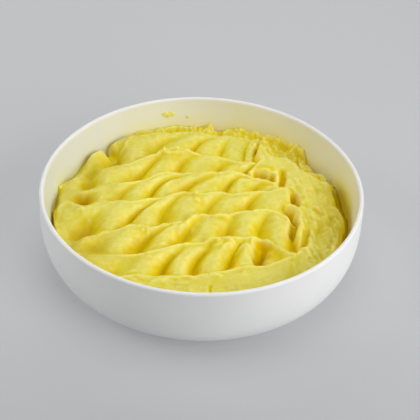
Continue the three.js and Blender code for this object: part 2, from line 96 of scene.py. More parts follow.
# Rows of the swept surface from the back to the front: top is the height of the crest, drop the
# fall toward the near side, turn how sharply the valleys turn, open how wide they are (0 to 1),
# crest the crest line's place at each station from left to right, and each valley is
# (x at the near end, depth as a share of BULGE, run to the right up to the crest).
ROWS = [
    dict(top=32.0, drop=1.0, turn=2, open=.5, crest=None,
         valleys=[(-130, .1, 0), (-60, .3, 4), (-20, .3, 2), (12, .5, 0), (44, .3, 0),
                  (75, .2, 0), (130, .1, 0)]),
    dict(top=36.5, drop=2.2, turn=3, open=.3,
         crest=[58, 68, 78, 84, 87, 88, 88, 86, 84, 80, 74],
         valleys=[(-110, .4, 6), (-66, .9, 6), (-38, .8, 30), (-8, .95, 22), (12, .8, 11),
                  (30, .5, 9), (37.5, 1.5, 6), (56, .4, 6), (72, .4, 4)]),
    dict(top=40.0, drop=3.0, turn=3.5, open=.3,
         crest=[26, 33, 39.5, 49, 54.5, 57.5, 57, 50, 46, 42, 38],
         valleys=[(-112, .4, 6), (-79, .5, 6), (-49, 1.1, 27), (-21, 1.05, 21),
                  (10, .9, 14), (31, .8, 9), (46, .8, 4), (62, .8, 0), (84, .4, 0)]),
    dict(top=40.8, drop=3.0, turn=3.5, open=.35,
         crest=[7.5, 8.5, 18, 19, 27, 30.5, 31, 33.5, 30, 25.5, 18],
         valleys=[(-115, .5, 6), (-82, .8, 4), (-58, .7, 18), (-34.5, .95, 27), (-15, 1.0, 25),
                  (16.5, .95, 23), (35.5, .8, 15), (60, .8, 6), (84, .4, 0)]),
    dict(top=41.2, drop=3.0, turn=3.5, open=.3,
         crest=[-4, -11, -4.5, -4, 1, 6, 7, 9, 9, 11, 15],
         valleys=[(-112, .4, 2), (-76, .85, 14), (-51, 1.0, 27), (-30.5, 1.05, 24),
                  (3.5, 1.0, 17), (30, 1.0, 16), (61, 1.1, 6), (84, .4, 0)]),
    dict(top=41.6, drop=3.2, turn=3.2, open=.6,
         crest=[-47, -42.5, -36.5, -30, -30.5, -26, -17.5, -17, -12.5, -10, -17],
         valleys=[(-110, .4, 2), (-72, .75, 12), (-41, 1.2, 21), (-15, 1.15, 13),
                  (15, 1.2, 8), (38.5, .9, 12), (61.5, 1.0, 2), (84, .4, 0)]),
    dict(top=41.6, drop=3.2, turn=2.6, open=.6,
         crest=[-62, -61, -60, -60, -57.5, -49.5, -45.5, -42, -40, -39.5, -51],
         valleys=[(-96, .4, 2), (-55, .45, 14), (-25, 1.15, 22), (-4.5, 1.1, 16),
                  (20, 1.2, 10), (39.5, .9, 1), (64, .5, -8), (90, .4, 0)]),
    dict(top=39.5, drop=5.0, turn=2, open=.5,
         crest=[-83, -82, -80.5, -79, -78, -77, -75, -71.5, -67.5, -63, -54],
         valleys=[(-120, .1, 0), (-50, .25, 4), (7, .25, 2), (34, .2, 0), (60, .3, 0),
                  (120, .1, 0)]),
]
# Radii of the arcs behind the first row and in front of the last.
BACK_ARC = 110.0
FRONT_ARC = 110.0

# The broad fold down the right-hand side: its height, the slope of its bank, where its top begins
# to fall on the right and on the near side, and the bank itself.
FOLD_TOP = 40.3
FOLD_FACE = 2.6
FOLD_RIGHT = 64
FOLD_NEAR = -46
FOLD_BANK = [(42.6, 68), (40.6, 59), (41, 50), (36, 41), (33, 35.5), (39, 30), (46, 24.5),
             (53, 22.5), (60, 18), (63.5, 15), (66.5, 10), (67.8, -1.5), (58, -4.4), (63, -7.4),
             (64.8, -13.5), (65.6, -21), (64.6, -28), (66.5, -38), (66.5, -47), (61, -56),
             (60, -66), (72, -80), (96, -60), (104, -45), (112, -10), (112, 18), (97, 25),
             (88, 28), (80, 32), (72, 40), (66, 49), (59, 55), (52, 57), (46.5, 60)]

# Ridges left by the edge of the spoon: points (x, y), height gained at both ends, half width.
RIDGES = [
    ([(43.5, 65), (44.2, 60)], 2.6, 1.6, 1.3),
    ([(45, 60), (47.6, 53), (51, 44)], 2.2, 0.6, 3.4),
    ([(58.2, -3.4), (63.5, -5.6), (68, -10.5), (70.5, -19)], 4.2, 1.0, 1.2),
    ([(66, -7.5), (72, -10.5), (79, -16)], 1.0, 0.6, 2.2),
    ([(66.6, -13), (67.8, -22), (66.5, -34)], 1.4, 0.8, 2.0),
    ([(33, 35.6), (40, 36.6), (47, 36), (53, 35)], 1.4, 1.0, 1.2),
    ([(33, 34.6), (40, 28.6), (47, 23.4), (53, 22.6)], 0.9, 1.5, 1.2),
    ([(53.2, 37), (53, 24)], 0.5, 0.9, 1.5),
    ([(-99, -17), (-98.5, -6), (-94, -2.5), (-89, -4)], 1.6, 1.4, 2.6),
    ([(-91, 30), (-86, 44), (-82, 56)], 1.5, 3.0, 5.0),
    ([(-65, 60), (-60, 67), (-53, 80)], 1.5, 1.0, 2.0),
    ([(-30, 51), (-23, 53), (-16, 55)], 1.6, 1.4, 2.0),
    ([(-24, -48), (-16, -46.5), (-8, -47)], 1.2, 1.2, 1.6),
    ([(5, -45), (12, -45), (20, -43.5)], 1.4, 0.8, 1.5),
    ([(33, -39.5), (42, -38.8), (50.5, -40.9), (57, -47.5), (58, -54)], 0.8, 1.0, 1.5),
    ([(30, -64), (42, -62), (56, -59)], 0.8, 1.0, 2.4),
    ([(84, -2), (86, -12), (82, -24)], 0.9, 0.7, 2.4),
    ([(88, 10), (86, 0), (90, -8)], 0.8, 0.8, 1.8),
    ([(84, 13), (81.8, -3.8)], 0.9, 0.9, 1.6),
    ([(93.6, -2.2), (98.3, -8.9), (98.2, -14.3)], 1.6, 1.2, 1.8),
]

# Pits and grooves with steep sides: points (x, y), depth at both ends, half width.
PITS = [
    ([(38.5, 34.4), (43, 32.6), (45.6, 30.6)], 9.0, 13.0, 2.5),
    ([(49.6, 33), (49.6, 27)], 7.0, 11.0, 2.2),
    ([(57, 38), (57.2, 31), (57, 22.5)], 4.0, 11.0, 2.4),
    ([(65, 10.5), (67.4, 5)], 9.0, 10.0, 2.3),
    ([(68, 4), (72, 1)], 2.2, 0.8, 2.6),
    ([(60.6, -9.4), (63, -15)], 7.0, 5.5, 2.5),
    ([(62.8, -15.5), (62, -22), (61.5, -28)], 3.5, 8.5, 2.5),
    ([(71.5, -25), (70.3, -33), (68.3, -41)], 0.8, 7.5, 2.1),
    ([(39.4, -43), (39, -48), (38.4, -53)], 8.0, 11.0, 3.9),
    ([(45.5, -46), (51, -52)], 5.0, 4.2, 4.6),
    ([(82, 16), (84, 4), (89, -8)], 0.8, 0.6, 2.0),
    ([(-32, -43), (-22, -44)], 1.2, 0.8, 3.0),
    ([(7, -84), (7.5, -92), (7, -104)], 1.6, 1.6, 0.7),
    ([(-76, 71), (-69, 65), (-64, 61)], 11.0, 3.0, 4.0),
    ([(53, 62), (60, 56)], 1.8, 0.8, 1.6),
    ([(60, 80), (65, 70), (69, 58)], 1.6, 2.6, 2.6),
    ([(51, 80), (54, 70)], 1.6, 1.2, 2.0),
    ([(80, -20), (78, -34), (82, -46)], 0.9, 0.7, 1.8),
    ([(88, -14), (90, -30), (86, -44)], 0.8, 0.8, 1.6),
    ([(77.4, -5.4), (82.3, -10.7)], 1.9, 1.5, 1.2),
    ([(80.2, -26.7), (86, -20), (91.7, -13)], 1.3, 1.0, 2.6),
]

# Broad hollows where the spoon lifted away: x, y, reach in x, reach in y, depth.
HOLLOWS = [(-81.5, 23, 6.5, 8, 8), (-80, 36, 6.5, 11, 8), (-90, 45, 7, 12, 4),
           (-82, 1.5, 7, 4.5, 9), (-79.5, -31, 10, 9.5, 9), (-67, 55, 6, 8, 5),
           (-73, 50, 6, 6, 4), (70, 60, 8, 12, 3), (56, 70, 7, 6, 3)]

# Radius that the mash reaches where it touches the wall.
WALL_RADIUS = 104.4
# The edge of the mash: bearing, radius (it has drawn back from the wall in places), height.
EDGE_LINE = [(-180, 102.8, 27), (-178, 102.3, 30), (-174, 101.8, 32), (-170, 101.3, 33),
             (-165, 101, 33.5), (-160, 101.8, 34.5), (-155, 103.4, 36), (-150, 104.5, 37.5),
             (-60, 104.6, 38), (-45, 104.4, 36.5), (-38, 104.2, 35), (-30, 103.5, 34),
             (-24, 101.5, 34), (-17, 99.5, 34), (-13, 98.5, 34), (-10, 99.6, 34),
             (-6.6, 99.2, 34.5), (-3.7, 98.8, 34), (-1.5, 96.8, 34.5), (1.5, 94.2, 36),
             (4.7, 93.6, 36.5), (9.9, 93.5, 37), (13, 94.5, 37), (16.6, 96.2, 36.5),
             (19.3, 98.8, 34), (22, 100.5, 29), (25.5, 102.4, 25), (28, 102.4, 22),
             (31, 102, 20.4), (33.3, 102, 20.6), (37, 102.8, 23.9), (40.4, 103.2, 26.3),
             (42, 103.7, 33.4), (43.8, 104.2, 37.4), (49, 103.9, 35.4), (52.9, 104, 36.2),
             (57.5, 104.1, 36.6), (60, 103.8, 34.2), (63.4, 103.8, 34.2), (69.2, 103.8, 34),
             (75, 103.9, 34.4), (78.3, 103.7, 32.3), (81.5, 103.5, 29.5), (84.2, 103.3, 27.9),
             (85.3, 102.9, 25.5), (86, 103.6, 30.9), (87.7, 104.1, 35.1), (89.1, 104, 34.3),
             (90.4, 103.8, 32.7), (93.7, 103.7, 32.1), (96.9, 103.7, 31.6), (100.2, 103.8, 33),
             (103.5, 104, 34.7), (108, 103.8, 32.4), (113.7, 103.8, 33.3), (119.5, 103.9, 33.7),
             (125, 103.7, 31.9), (128, 103.4, 28.3), (130.4, 103.4, 28.6), (133, 103.5, 29.9),
             (134.6, 103.4, 28.9), (135.6, 103, 22.5), (136.3, 101, 16), (138, 101, 18),
             (139, 103.3, 27.6), (142.7, 103.4, 28.7), (146.6, 103.4, 28.7),
             (149.2, 103.3, 27.5), (152, 103.2, 26.6), (157.9, 102.9, 25.2), (161, 103.4, 28.1),
             (163.7, 103.6, 30.9), (166, 103.7, 31.6), (168.7, 103.9, 33.6), (169.8, 103.6, 30),
             (172, 103.4, 27.7), (176, 103.1, 25.6), (178.3, 102.9, 24.6), (180, 102.8, 27)]
# How steeply the mash rises from its edge.
SHOULDER = 2.4


# ---------------------------------------------------------------- the swept surface
def ease(a, b, v):
    """Rises smoothly from 0 where v is a to 1 where v is b."""
    t = np.clip((v - a) / (b - a), 0, 1)
    return t * t * (3 - 2 * t)


def blend_max(a, b, k):
    """The higher of a and b, rounded over where they differ by less than k."""
    h = np.clip(0.5 + 0.5 * (a - b) / k, 0, 1)
    return b * (1 - h) + a * h + k * h * (1 - h)


def spot(x, y, place):
    """A soft round spot, given as (x, y, reach in x, reach in y, strength)."""
    px, py, rx, ry, strength = place
    return strength * np.exp(-((x - px) / rx) ** 2 - ((y - py) / ry) ** 2)


def unsteady(x, y):
    """The slight wander of the hand that swept the mash."""
    wx = 1.2 * np.sin(y / 11 + 0.7) + 0.8 * np.sin((x + 2 * y) / 17 + 2.1) \
        + 0.4 * np.sin((x - y) / 4.7)
    wy = 0.8 * np.sin(x / 9 + 1.3) + 0.6 * np.sin((x - 1.4 * y) / 7 + 0.4) \
        + 0.4 * np.sin((x + 0.6 * y) / 4.1 + 1)
    return x + wx, y + wy


def steadier(x, y):
    """The fold and the single marks wander less than the rows."""
    sx, sy = unsteady(x, y)
    fx = 0.7 * x + 0.3 * sx + 0.35 * np.sin(y / 2.9) + 0.25 * np.sin((x + y) / 1.9)
    fy = 0.7 * y + 0.3 * sy + 0.35 * np.sin(x / 2.7 + 1) + 0.25 * np.sin((x - y) / 2.1)
    return fx, fy


def crest_line(k, x):
    """Distance from the middle of row k's crest line at x."""
    if k == 0:
        return np.sqrt(np.maximum(BACK_ARC ** 2 - x * x, 100))
    if k == len(ROWS):
        return -np.sqrt(np.maximum(FRONT_ARC ** 2 - x * x, 100))
    crest = np.array(ROWS[k]["crest"], float)
    last = len(crest) - 1
    q = (x - STATION_START) / STATION_STEP
    i = np.clip(np.floor(q).astype(int), 0, last - 1)
    f = np.clip(q - i, -1, 2)
    a, b, c, d = (crest[np.clip(i + j, 0, last)] for j in (-1, 0, 1, 2))
    bend = 2 * a - 5 * b + 4 * c - d + f * (3 * (b - c) + d - a)
    return b + 0.5 * f * (c - a + f * bend)


def row_sheet(k, x, y):
    """Height of the swept sheet of row k."""
    row = ROWS[k]
    far = crest_line(k, x)
    span = np.maximum(far - crest_line(k + 1, x), LEAST_SPAN)
    v = (far - y) / span
    vc = np.clip(v, 0, 1.3)
    lead = (1 - np.minimum(vc, 1)) ** row["turn"]
    sink = np.zeros_like(x)
    valleys = row["valleys"]
    for (x0, d0, l0), (x1, d1, l1) in zip(valleys[:-1], valleys[1:]):
        a = x0 + l0 * lead
        b = x1 + l1 * lead
        q = (x - a) / (b - a)
        inside = (q >= 0) & (q < 1)
        q = np.clip(q, 0, 1)
        size = np.minimum(1, (b - a) / BULGE_SPAN)
        side = np.where(q < CROWN, 1 - q / CROWN, (q - CROWN) / (1 - CROWN))
        flank = np.where(q < CROWN, LEFT_FLANK, RIGHT_FLANK)
        soft = (0.5 - 0.5 * np.cos(np.pi * side)) ** (0.62 * flank)
        trough = (1 - row["open"]) * side ** flank + row["open"] * soft
        deep = BULGE * size * (d0 * (1 - q) + d1 * q) * trough
        # A thin lip stands where the spoon left the pillow.
        place = (1 - q) * (b - a) - FLANK_LIP_PLACE
        edge = np.exp(-(place / FLANK_LIP_WIDTH) ** 2) * ease(0.85, 0.25, vc)
        deep = deep - FLANK_LIP * min(1, d1) * edge
        sink = np.where(inside, deep, sink)
    z = row["top"] - row["drop"] * vc ** 1.2 - sink * (0.03 + 0.97 * ease(-0.1, 0.66, vc))
    # Behind its crest the row drops away, sharply on the right and in a soft curve on the left.
    behind = y - far
    soft = np.maximum(ease(SOFT_START, SOFT_FULL, x), 0.75 if k == 1 else 0.0)
    curve = 0.2 + 3.0 * soft
    behind = 0.5 * (behind + np.sqrt(behind ** 2 + curve ** 2))
    z = z - behind * (FAR_FACE - 0.85 * soft) - np.maximum(v - 1, 0) * UNDER * span
    right_slope = BACK_SLOPE if k < 3 else FRONT_SLOPE
    z = z - right_slope * np.maximum(x - RIGHT_FALL, 0) - LEFT_SLOPE * np.maximum(LEFT_FALL - x, 0)
    z = z + 0.6 * np.sin(x / 8.3 + 1.9 * k) + 0.3 * np.sin(x / 4.1 + 2.7 * k)
    lip = LIP * (0.55 + 0.45 * np.sin(x / 6.1 + 2.3 * k)) * (0.25 + 0.75 * ease(-62, -30, x))
    groove = GROOVE * np.exp(-((far - y - GROOVE_PLACE) / GROOVE_WIDTH) ** 2)
    return z + lip * (np.exp(-((far - y) / LIP_WIDTH) ** 2) - groove)


def bank_distance(x, y):
    """Signed distance to the bank of the side fold, negative on the fold."""
    d = np.full(x.shape, 1e9)
    side = np.ones(x.shape)
    for i, (ax, ay) in enumerate(FOLD_BANK):
        bx, by = FOLD_BANK[(i + 1) % len(FOLD_BANK)]
        ex, ey, wx, wy = bx - ax, by - ay, x - ax, y - ay
        t = np.clip((wx * ex + wy * ey) / (ex * ex + ey * ey), 0, 1)
        d = np.minimum(d, np.hypot(wx - t * ex, wy - t * ey))
        turn = ex * wy - ey * wx
        cross = ((y >= ay) & (y < by) & (turn > 0)) | ((y < ay) & (y >= by) & (turn < 0))
        side = np.where(cross, -side, side)
    return d * side


def stroke(x, y, points):
    """Distance from one stroke of the spoon's edge, and how far along it the nearest part is."""
    nearest = np.full(x.shape, 1e9)
    along = np.zeros(x.shape)
    count = len(points) - 1
    for i in range(count):
        (ax, ay), (bx, by) = points[i], points[i + 1]
        ex, ey = bx - ax, by - ay
        t = np.clip(((x - ax) * ex + (y - ay) * ey) / (ex * ex + ey * ey), 0, 1)
        d = np.hypot(x - ax - t * ex, y - ay - t * ey)
        closer = d < nearest
        nearest = np.where(closer, d, nearest)
        along = np.where(closer, (i + t) / count, along)
    return nearest, along


def mash_height(x, y):
    """Height of the mash, without its smallest unevenness."""
    bx, by = x, y
    x, y = unsteady(x, y)
    z = row_sheet(0, x, y)
    blend = CREST_BLEND + 2.0 * ease(-30, -56, x) + 3.5 * ease(-60, -84, x)
    for k in range(1, len(ROWS)):
        z = blend_max(z, row_sheet(k, x, y), blend)
    x, y = steadier(bx, by)
    s = bank_distance(x, y)
    fold = (FOLD_TOP - 0.06 * np.maximum(x - FOLD_RIGHT, 0) - 0.16 * np.maximum(FOLD_NEAR - y, 0)
            - (FOLD_FACE - 1.8 * ease(-48, -58, y)) * np.maximum(s, 0)
            - 1.0 * np.exp(np.minimum(s, 0) / 1.4)
            + 0.6 * np.exp(-((s + 2.0) / 1.4) ** 2) * ease(-40, -20, y)
            + 0.7 * np.sin(x / 3.9 + y / 14) + 0.5 * np.sin(y / 6 - x / 9))
    z = blend_max(z, fold, CREST_BLEND + 2.5 * ease(-42, -56, y))
    for points, start, end, half in RIDGES:
        d, t = stroke(x, y, points)
        z = z + (start + (end - start) * t) * np.exp(-(d / half) ** 1.5)
    for points, start, end, half in PITS:
        d, t = stroke(x, y, points)
        z = z - (start + (end - start) * t) / (1 + (d / half) ** 4)
    for hollow in HOLLOWS:
        z = z - spot(x, y, hollow)
    # Toward its edge the mash rounds off to the height it has at the wall.
    inward = np.maximum(edge_radius(bx, by) - np.hypot(bx, by), 0)
    level = edge_level(bx, by)
    slope = SHOULDER - 1.0 * ease(-80, -94, bx) * ease(66, 50, by) * ease(-40, -20, by)
    z = -blend_max(-z, -(level + 1 + slope * inward), 2.0)
    near = np.exp(-(inward / 2.4) ** 2)
    return z + (level - z) * near - 0.9 * np.exp(-inward / 1.5)


def bearing_of(x, y):
    """Direction from the middle of the bowl, in degrees from the right, counted to the back."""
    return np.degrees(np.arctan2(y, x))


def read_line(bearing, line, column):
    """Reads a column of a table whose first column is the bearing."""
    return np.interp(bearing, [row[0] for row in line], [row[column] for row in line])


def edge_radius(x, y):
    """How far the mash reaches in the direction of (x, y)."""
    return read_line(bearing_of(x, y), EDGE_LINE, 1)


def edge_level(x, y):
    """Height of the edge of the mash in the direction of (x, y)."""
    return read_line(bearing_of(x, y), EDGE_LINE, 2)


# ---------------------------------------------------------------- noise
LATTICE = 256
# Each kind of noise on the mash: size of its features in millimetres, seed.
SWELL = (7.5, 3)
LUMPS = (3.4, 5)
GRAIN = (1.6, 7)
STREAKS = (1.3, 11)
DRAGS = (1.7, 13)
TEARS = (2.6, 17)
SCRATCHES = (1.5, 19)
RIPPLES = (1.9, 23)
BLOTCHES = (5.0, 29)
CURL_SEED = 21


def speckle(x, y, size, seed):
    """Smooth seeded noise from 0 to 1 with features about size millimetres across."""
    table = np.random.default_rng(seed).random((LATTICE, LATTICE))
    u, v = x / size + 61.3, y / size + 47.9
    i, j = np.floor(u).astype(int), np.floor(v).astype(int)
    f, g = u - i, v - j
    f, g = f * f * (3 - 2 * f), g * g * (3 - 2 * g)

    def at(p, q):
        return table[p % LATTICE, q % LATTICE]

    near = at(i, j) * (1 - f) + at(i + 1, j) * f
    far = at(i, j + 1) * (1 - f) + at(i + 1, j + 1) * f
    return near * (1 - g) + far * g


# ---------------------------------------------------------------- bowl section
def wall_point(t):
    """Radius and height of the outside of the bowl, from the base at 0 to the rim at 1."""
    u = 1 - t
    r = (u ** 3 * BASE_RADIUS + 3 * u * u * t * (BASE_RADIUS + ROUND_REACH)
         + 3 * u * t * t * RIM_RADIUS + t ** 3 * RIM_RADIUS)
    return r, 3 * u * t * t * WALL_START + t ** 3 * BOWL_HEIGHT


def wall_inset(t, inset):
    """The point that lies inset square to the outside of the bowl."""
    r, z = wall_point(t)
    r0, z0 = wall_point(t - 1e-4)
    r1, z1 = wall_point(t + 1e-4)
    size = math.hypot(r1 - r0, z1 - z0)
    return r - inset * (z1 - z0) / size, z + inset * (r1 - r0) / size


def thickness(t):
    """The wall is thin at the rim, stout lower down and slimmer again in the floor."""
    return (WALL + WALL_SWELL * ease(1.0, 0.62, t)
            - (WALL_SWELL - FLOOR_SWELL) * ease(0.5, 0.1, t))


INSIDE_STEPS = 200
INSIDE = np.array([wall_inset(t, thickness(t)) for t in np.arange(INSIDE_STEPS + 1) / INSIDE_STEPS])


def inner_radius(z):
    """Radius of the inside of the bowl at a height."""
    return np.interp(z, INSIDE[:, 1], INSIDE[:, 0])


# ---------------------------------------------------------------- helpers
def add_mesh(name, bm, material, node=None):
    """Makes a smooth piece of the bowl's one body, standing for the node if one is given."""
    mesh = bpy.data.meshes.new(name)
    bm.to_mesh(mesh)
    bm.free()
    for face in mesh.polygons:
        face.use_smooth = True
    mesh.materials.append(material)
    piece = bpy.data.objects.new(name, mesh)
    bpy.context.scene.collection.objects.link(piece)
    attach(piece, "root")
    if node:
        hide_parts(node)
    return mesh


def points_of(mesh):
    """The places of a mesh's points, in metres."""
    places = np.empty(len(mesh.vertices) * 3)
    mesh.vertices.foreach_get("co", places)
    return places.reshape(-1, 3)


def paint(mesh, name, values):
    """Paints a value on each point of a mesh, for a material to read."""
    mesh.attributes.new(name, "FLOAT", "POINT").data.foreach_set("value", values)


# ---------------------------------------------------------------- shared shader parts
FLOAT = "NodeSocketFloat"
COLOUR = "NodeSocketColor"
VECTOR = "NodeSocketVector"
NOISE_INPUTS = [("Scale", FLOAT, 5.0), ("Detail", FLOAT, 2.0), ("Roughness", FLOAT, 0.5)]
# Sockets of a Mix node that mixes colours.
MIX_FIRST = 6
MIX_SECOND = 7
MIX_RESULT = 2


def feed(links, source, socket):
    """Links a node's output to a socket, or sets the socket to a plain value."""
    if isinstance(source, bpy.types.NodeSocket):
        links.new(source, socket)
    else:
        socket.default_value = source


def mix_colours(nodes, links, blend, factor, first, second):
    """Mixes two colours, each of them a node's output or a plain value."""
    mix = nodes.new("ShaderNodeMix")
    mix.data_type = "RGBA"
    mix.blend_type = blend
    feed(links, factor, mix.inputs["Factor"])
    feed(links, first, mix.inputs[MIX_FIRST])
    feed(links, second, mix.inputs[MIX_SECOND])
    return mix.outputs[MIX_RESULT]


def painted(nodes, name):
    """Reads what is painted on the mesh under a name."""
    reader = nodes.new("ShaderNodeAttribute")
    reader.attribute_name = name
    return reader.outputs


def new_group(name, inputs, output, output_type):
    """Starts a node group on noise, and returns its parts and the noise."""
    group = bpy.data.node_groups.new(name, "ShaderNodeTree")
    for label, socket_type, value in NOISE_INPUTS + inputs:
        socket = group.interface.new_socket(label, in_out="INPUT", socket_type=socket_type)
        socket.default_value = value
    group.interface.new_socket(output, in_out="OUTPUT", socket_type=output_type)
    given = group.nodes.new("NodeGroupInput").outputs
    result = group.nodes.new("NodeGroupOutput").inputs[output]
    place = group.nodes.new("ShaderNodeTexCoord")
    noise = group.nodes.new("ShaderNodeTexNoise")
    group.links.new(place.outputs["Object"], noise.inputs["Vector"])
    for label, _, _ in NOISE_INPUTS:
        group.links.new(given[label], noise.inputs[label])
    return group, given, noise.outputs["Fac"], result


def make_cloudy_colour():
    """Two colours in soft clouds: the first where the noise is low, the second where it is high."""
    group, given, noise, result = new_group("cloudy colour", [
        ("Low", FLOAT, 0.0), ("High", FLOAT, 1.0),
        ("First", COLOUR, (1, 1, 1, 1)), ("Second", COLOUR, (1, 1, 1, 1))], "Color", COLOUR)
    share = group.nodes.new("ShaderNodeMapRange")
    group.links.new(noise, share.inputs["Value"])
    group.links.new(given["Low"], share.inputs["From Min"])
    group.links.new(given["High"], share.inputs["From Max"])
    mixed = mix_colours(group.nodes, group.links, "MIX", share.outputs["Result"],
                        given["First"], given["Second"])
    group.links.new(mixed, result)
    return group


def make_fine_grain():
    """A grain that roughens the surface a little."""
    group, given, noise, result = new_group("fine grain", [
        ("Strength", FLOAT, 0.5), ("Distance", FLOAT, 0.0005)], "Normal", VECTOR)
    bump = group.nodes.new("ShaderNodeBump")
    group.links.new(noise, bump.inputs["Height"])
    group.links.new(given["Strength"], bump.inputs["Strength"])
    group.links.new(given["Distance"], bump.inputs["Distance"])
    group.links.new(bump.outputs["Normal"], result)
    return group


def place_group(nodes, group, **values):
    """Places a node group in a material, with the material's own values."""
    node = nodes.new("ShaderNodeGroup")
    node.node_tree = group
    for label, value in values.items():
        node.inputs[label].default_value = value
    return node.outputs[0]


# ---------------------------------------------------------------- materials
# Colour of the mash with painted shade and painted yellow bounce light, from its open tops to its
# deepest pits, where it is painted darker: how far it is shut in, colour.
MASH_AND_SHADE_COLOURS = [(0.0, (0.825, 0.752, 0.155, 1)), (0.04, (0.82, 0.74, 0.115, 1)),
                (0.1, (0.82, 0.72, 0.055, 1)), (0.19, (0.83, 0.70, 0.015, 1)),
                (0.34, (0.86, 0.695, 0.002, 1)), (0.6, (0.90, 0.68, 0.0, 1)),
                (1.0, (0.66, 0.46, 0.0, 1))]
CREST_HIGHLIGHT_COLOUR = (0.93, 0.88, 0.36, 1)
CREST_HIGHLIGHT_SHARE = 0.6
PAINTED_SHADE_COLOUR = (0.84, 0.76, 0.22, 1)
FILM_AND_SHADE_COLOUR = (0.93, 0.84, 0.3, 1)


def new_material(name):
    """Starts a material, and returns it with its nodes, its links and its shader."""
    material = bpy.data.materials.new(name)
    material.use_nodes = True
    nodes = material.node_tree.nodes
    return material, nodes, material.node_tree.links, nodes["Principled BSDF"]


def make_mash_material(cloudy, grain):
    """Soft mash, with a painted highlight on its crests, painted shade of a darker, fuller yellow in
    its pits, and moist on its open tops.
    """
    material, nodes, links, skin = new_material("mashed potato")
    # Painted shade: the ramp darkens the mash and deepens its yellow where it is shut in by the mash
    # round it.
    hollow = painted(nodes, "hollow")["Fac"]
    ramp = nodes.new("ShaderNodeValToRGB")
    stops = ramp.color_ramp.elements
    stops[0].position, stops[0].color = MASH_AND_SHADE_COLOURS[0]
    stops[1].position, stops[1].color = MASH_AND_SHADE_COLOURS[-1]
    for position, colour in MASH_AND_SHADE_COLOURS[1:-1]:
        stops.new(position).color = colour
    links.new(hollow, ramp.inputs["Fac"])
    # Painted highlight: the thin crests and beads are painted paler.
    share = nodes.new("ShaderNodeMath")
    share.operation = "MULTIPLY"
    share.inputs[1].default_value = CREST_HIGHLIGHT_SHARE
    links.new(painted(nodes, "painted_crest_highlight")["Fac"], share.inputs[0])
    colour = mix_colours(nodes, links, "MIX", share.outputs[0], ramp.outputs["Color"], CREST_HIGHLIGHT_COLOUR)
    # Painted shade: near the wall and in the wider hollows the mash is painted darker and deeper in
    # colour.
    deep = painted(nodes, "deep")["Fac"]
    colour = mix_colours(nodes, links, "MULTIPLY", deep, colour, PAINTED_SHADE_COLOUR)
    mottle = place_group(nodes, cloudy, Scale=90, Detail=6, Roughness=0.62, Low=0.3, High=0.68,
                         First=(0.93, 0.90, 0.72, 1), Second=(1, 1, 1, 1))
    links.new(mix_colours(nodes, links, "MULTIPLY", 1.0, colour, mottle), skin.inputs["Base Color"])
    crumb = place_group(nodes, grain, Scale=700, Detail=5, Strength=0.5, Distance=0.0006)
    links.new(crumb, skin.inputs["Normal"])
    # The open tops are moist, and the pits look dull.
    shine = nodes.new("ShaderNodeMapRange")
    shine.inputs["From Min"].default_value = 0.1
    shine.inputs["From Max"].default_value = 0.7
    shine.inputs["To Min"].default_value = 0.35
    shine.inputs["To Max"].default_value = 0.02
    links.new(hollow, shine.inputs["Value"])
    links.new(shine.outputs["Result"], skin.inputs["Specular IOR Level"])
    skin.inputs["Roughness"].default_value = 0.48
    skin.inputs["Subsurface Weight"].default_value = 1.0
    skin.inputs["Subsurface Radius"].default_value = (1.0, 0.75, 0.15)
    skin.inputs["Subsurface Scale"].default_value = 0.003
    return material


def make_smear_material(cloudy):
    """Mash wiped out so thin that the glaze lightens it."""
    material, nodes, links, skin = new_material("thin smear of mash")
    patches = place_group(nodes, cloudy, Scale=180, Detail=4, Low=0.3, High=0.7,
                          First=(0.80, 0.74, 0.16, 1), Second=(0.90, 0.86, 0.30, 1))
    links.new(patches, skin.inputs["Base Color"])
    skin.inputs["Roughness"].default_value = 0.5
    return material


def make_glaze_material(cloudy, grain):
    """White glaze under a film and a wash of butter, with painted shade and painted yellow bounce
    light next to the mash.
    """
    material, nodes, links, skin = new_material("satin white glaze")
    cloud = place_group(nodes, cloudy, Scale=18, Detail=3, Low=0.35, High=0.65,
                        First=(0.83, 0.83, 0.82, 1), Second=(0.86, 0.86, 0.85, 1))
    filmed_and_shaded = mix_colours(nodes, links, "MIX", painted(nodes, "film_and_shade")["Fac"], cloud, FILM_AND_SHADE_COLOUR)
    wash_and_shade = painted(nodes, "wash_and_shade")["Color"]
    links.new(mix_colours(nodes, links, "MULTIPLY", 1.0, filmed_and_shaded, wash_and_shade), skin.inputs["Base Color"])
    ripple = place_group(nodes, grain, Scale=120, Strength=0.05, Distance=0.0005)
    links.new(ripple, skin.inputs["Normal"])
    skin.inputs["Roughness"].default_value = 0.36
    skin.inputs["Specular IOR Level"].default_value = 0.5
    return material


# ---------------------------------------------------------------- bowl
# Steps along the wall, round half of the lip and round the bowl, and where on the wall's curve
# the lip begins.
WALL_STEPS = 48
LIP_STEPS = 16
TURN_STEPS = 192
LIP_FROM = 0.97
# Tint of the wash of butter and painted shade on the inside of the bowl: bearing, red, green, blue.
WASH_AND_SHADE = [(0, 1.0, 0.98, 0.82), (75, 0.99, 0.96, 0.80), (95, 1.0, 1.0, 0.95),
        (115, 0.98, 0.985, 0.94), (132, 0.93, 0.94, 0.91), (150, 0.88, 0.905, 0.91),
        (200, 0.88, 0.905, 0.91), (230, 1, 1, 1), (330, 1, 1, 1), (360, 1.0, 0.98, 0.82)]
# Painted shade with a yellow cast on the wall at the right, behind the drawn-back mash: how much of
# red, green and blue it takes away where it is strongest, its bearing and reach in degrees, the height
# up to which it is full, and its fade.
GAP_SHADE = (0.06, 0.06, 0.6)
GAP_SHADE_BEARING = 9
GAP_SHADE_REACH = 13
GAP_SHADE_HEIGHT = 34
GAP_SHADE_FADE = 6


